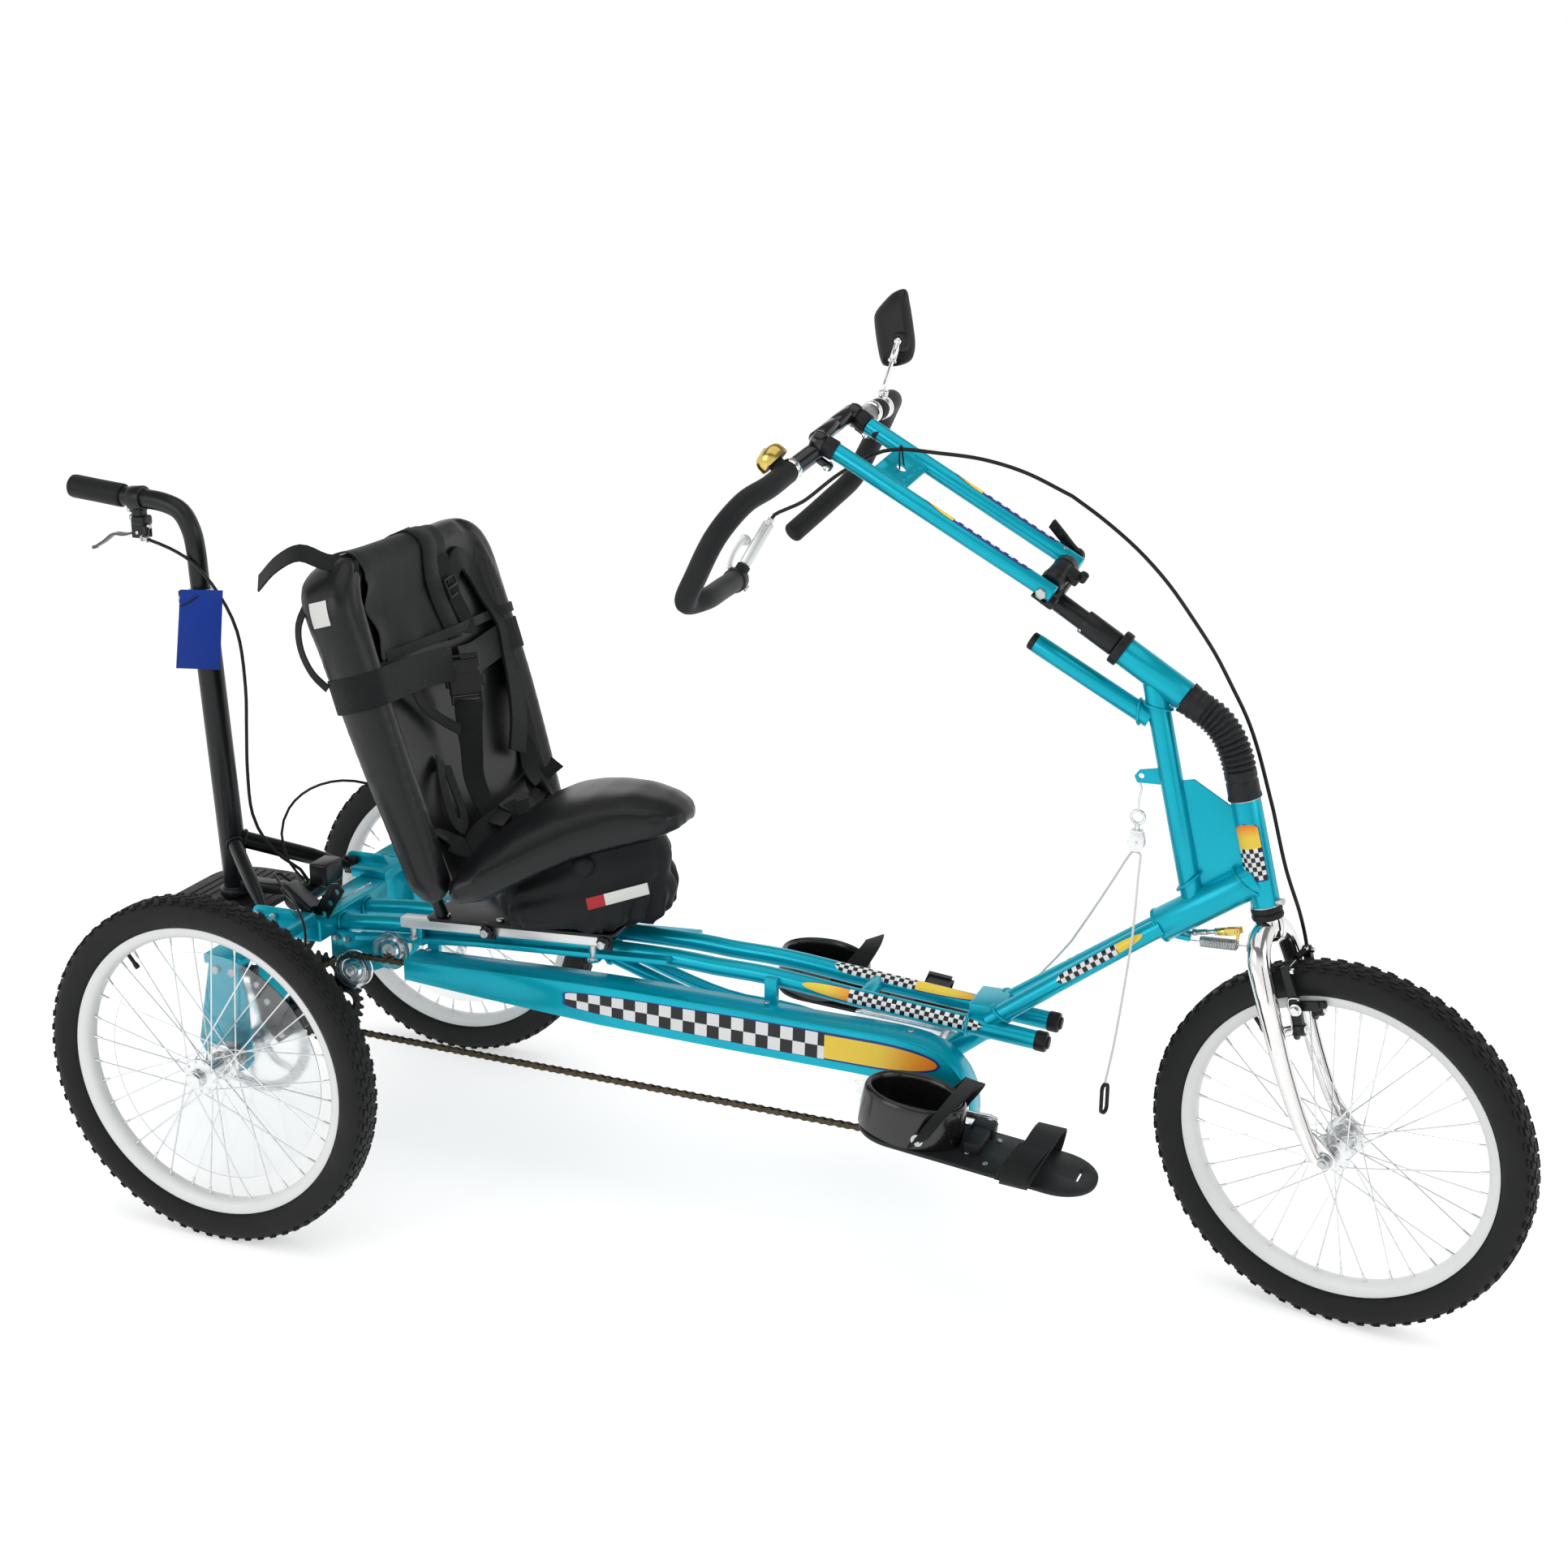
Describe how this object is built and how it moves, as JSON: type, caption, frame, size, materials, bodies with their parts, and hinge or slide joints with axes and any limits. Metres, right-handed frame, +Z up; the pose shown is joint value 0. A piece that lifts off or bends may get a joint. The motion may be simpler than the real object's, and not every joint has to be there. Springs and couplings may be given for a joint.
{
  "type": "adaptive tricycle",
  "caption": "Adaptive recumbent tricycle with padded harness seat, loop handlebars, strapped foot plates, push handle, two rear wheels and a steered front wheel.",
  "frame": {"origin": "on the floor, below the middle of the bounding box", "axes": "+X forward, +Y to the rider's left, +Z up"},
  "size_m": [2.1342, 0.776, 1.2787],
  "materials": {
    "aluminium": "plain aluminium",
    "black_paint": "satin black paint",
    "black_plastic": "matte black plastic",
    "black_rubber": "matte black rubber",
    "black_vinyl": "smooth black vinyl over foam",
    "black_webbing": "woven black webbing",
    "brass": "polished brass",
    "chain_steel": "dark oiled steel",
    "chrome": "polished chrome",
    "clear_plastic": "milky plastic",
    "foam_grip": "soft black foam grip",
    "steel": "zinc-plated steel",
    "teal_paint": "glossy teal paint",
    "white_cord": "braided pale cord",
    "white_rim": "white paint and bright spokes"
  },
  "bodies": {
    "trike": {"main_frame": "teal_paint", "front_boom": "teal_paint", "axle_bracket_left": "teal_paint", "axle_bracket_right": "teal_paint", "chain_guard": "teal_paint", "chain": "chain_steel", "brake_caliper_left": "black_paint", "brake_caliper_right": "black_paint", "rear_platform": "black_plastic", "push_handle_post": "black_paint", "seat_rail_left": "aluminium", "seat_rail_right": "aluminium", "steering_boot": "black_rubber", "front_brake_cable": "black_plastic", "push_brake_cable": "black_plastic", "centering_spring": "steel", "steering_limit_rod": "brass", "cord_pulley": "steel", "level_cord": "white_cord", "snap_hook": "black_paint"},
    "seat": {"seat_frame": "black_paint", "seat_back": "black_vinyl", "seat_pan": "black_vinyl", "seat_skirt": "black_vinyl", "chest_belt": "black_webbing", "shoulder_straps": "black_webbing", "harness_buckle": "black_plastic"},
    "push_handle": {"push_handle_tube": "black_paint", "push_grip": "foam_grip"},
    "push_lever": {"push_brake_lever": "aluminium"},
    "steered_fork": {"fork": "chrome", "front_axle": "steel"},
    "right_brake_arm": {"brake_arm_right": "black_paint"},
    "left_brake_arm": {"brake_arm_left": "black_paint"},
    "front_wheel_set": {"front_wheel": "white_rim", "front_tyre": "black_rubber"},
    "right_wheel_set": {"right_wheel": "white_rim", "right_tyre": "black_rubber", "right_axle": "steel"},
    "left_wheel_set": {"left_wheel": "white_rim", "left_tyre": "black_rubber"},
    "cogs": {"rear_sprockets": "black_paint"},
    "cranks": {"crankset": "steel"},
    "right_pedal": {"right_footplate": "black_plastic", "right_heel_cup": "black_vinyl"},
    "left_pedal": {"left_footplate": "black_plastic", "left_heel_cup": "black_vinyl"},
    "lower_idler": {"idler_lower": "clear_plastic"},
    "upper_idler": {"idler_upper": "clear_plastic"},
    "column": {"steering_column": "black_paint"},
    "arms": {"handlebar_arms": "teal_paint", "handle_clamp_left": "chrome", "handle_clamp_right": "chrome", "left_handle": "foam_grip", "right_handle": "foam_grip", "bell": "brass", "mirror_stem": "chrome"},
    "mirror": {"mirror_head": "black_plastic"},
    "hand_lever": {"brake_lever": "aluminium"},
    "cam_lever": {"quick_release_lever": "black_paint"}
  },
  "joints": [
    {"name": "seat_slide", "type": "slide", "parent": "trike", "child": "seat", "axis": [0.9987, 0, 0.0508], "range_m": [-0.1, 0.02]},
    {"name": "push_handle_slide", "type": "slide", "parent": "trike", "child": "push_handle", "axis": [-0.0583, 0, 0.9983], "range_m": [-0.03, 0.12], "deforming": ["push_brake_cable"]},
    {"name": "push_lever_turn", "type": "hinge", "parent": "push_handle", "child": "push_lever", "pos_m": [-0.9495, 0, 0.908], "axis": [0, 1, 0], "range_deg": [0, 14], "stiffness_Nm_per_rad": 0.3},
    {"name": "steering", "type": "hinge", "parent": "trike", "child": "steered_fork", "pos_m": [0.7035, 0, 0.557], "axis": [-0.2488, 0, 0.9686], "range_deg": [-27.5, 52.5], "deforming": ["front_brake_cable"]},
    {"name": "front_wheel_spin", "type": "hinge", "parent": "steered_fork", "child": "front_wheel_set", "pos_m": [0.81855, -0.00779, 0.25038], "axis": [0.2096, 0.9763, 0.0538], "continuous": true},
    {"name": "right_wheel_spin", "type": "hinge", "parent": "trike", "child": "right_wheel_set", "pos_m": [-0.6455, -0.344, 0.25], "axis": [0, 1, 0], "continuous": true},
    {"name": "left_wheel_spin", "type": "hinge", "parent": "trike", "child": "left_wheel_set", "pos_m": [-0.6455, 0.344, 0.25], "axis": [0, 1, 0], "continuous": true},
    {"name": "crank_spin", "type": "hinge", "parent": "trike", "child": "cranks", "pos_m": [0.2615, 0, 0.262], "axis": [0, 1, 0], "continuous": true, "deforming": ["level_cord"]},
    {"name": "cog_spin", "type": "hinge", "parent": "trike", "child": "cogs", "pos_m": [-0.6455, 0, 0.25], "axis": [0, 1, 0], "continuous": true},
    {"name": "lower_idler_spin", "type": "hinge", "parent": "trike", "child": "lower_idler", "pos_m": [-0.5795, -0.08, 0.307], "axis": [0, 1, 0], "continuous": true},
    {"name": "upper_idler_spin", "type": "hinge", "parent": "trike", "child": "upper_idler", "pos_m": [-0.5225, -0.07, 0.3405], "axis": [0, 1, 0], "continuous": true},
    {"name": "right_pedal_turn", "type": "hinge", "parent": "cranks", "child": "right_pedal", "pos_m": [0.38822, 0, 0.25358], "axis": [0, 1, 0], "continuous": true},
    {"name": "left_pedal_turn", "type": "hinge", "parent": "cranks", "child": "left_pedal", "pos_m": [0.13478, 0, 0.27042], "axis": [0, 1, 0], "continuous": true},
    {"name": "column_turn", "type": "hinge", "parent": "trike", "child": "column", "pos_m": [0.4129, 0, 0.9262], "axis": [-0.8443, 0, 0.5359], "range_deg": [-34.4, 65.7]},
    {"name": "arm_tilt", "type": "hinge", "parent": "column", "child": "arms", "pos_m": [0.42216, -0.00998, 0.95758], "axis": [0.162, 0.9532, 0.2553], "range_deg": [-20, 25]},
    {"name": "mirror_swivel", "type": "hinge", "parent": "arms", "child": "mirror", "pos_m": [0.15027, 0.1653, 1.21331], "axis": [0.5108, -0.3024, 0.8047], "range_deg": [-30, 30]},
    {"name": "hand_lever_turn", "type": "hinge", "parent": "arms", "child": "hand_lever", "pos_m": [-0.00113, 0.00225, 0.96677], "axis": [0.2024, -0.926, 0.3188], "range_deg": [-25, 0], "stiffness_Nm_per_rad": 0.2},
    {"name": "right_brake_turn", "type": "hinge", "parent": "steered_fork", "child": "right_brake_arm", "pos_m": [0.76043, -0.03806, 0.41262], "axis": [0.9456, -0.2164, 0.2429], "range_deg": [-3.2, 0]},
    {"name": "left_brake_turn", "type": "hinge", "parent": "steered_fork", "child": "left_brake_arm", "pos_m": [0.77426, 0.02637, 0.41618], "axis": [0.9456, -0.2164, 0.2429], "range_deg": [0, 3.2]},
    {"name": "cam_lever_turn", "type": "hinge", "parent": "arms", "child": "cam_lever", "pos_m": [0.42216, -0.00998, 0.95758], "axis": [0.162, 0.9532, 0.2553], "range_deg": [-30, 90]}
  ],
  "couplings": [
    {"joint": "cog_spin", "follows": "crank_spin", "ratio": 1.7},
    {"joint": "lower_idler_spin", "follows": "crank_spin", "ratio": 3.1282},
    {"joint": "column_turn", "follows": "steering", "ratio": 1.25},
    {"joint": "right_brake_turn", "follows": "hand_lever_turn", "ratio": 0.128},
    {"joint": "left_brake_turn", "follows": "hand_lever_turn", "ratio": -0.128}
  ]
}
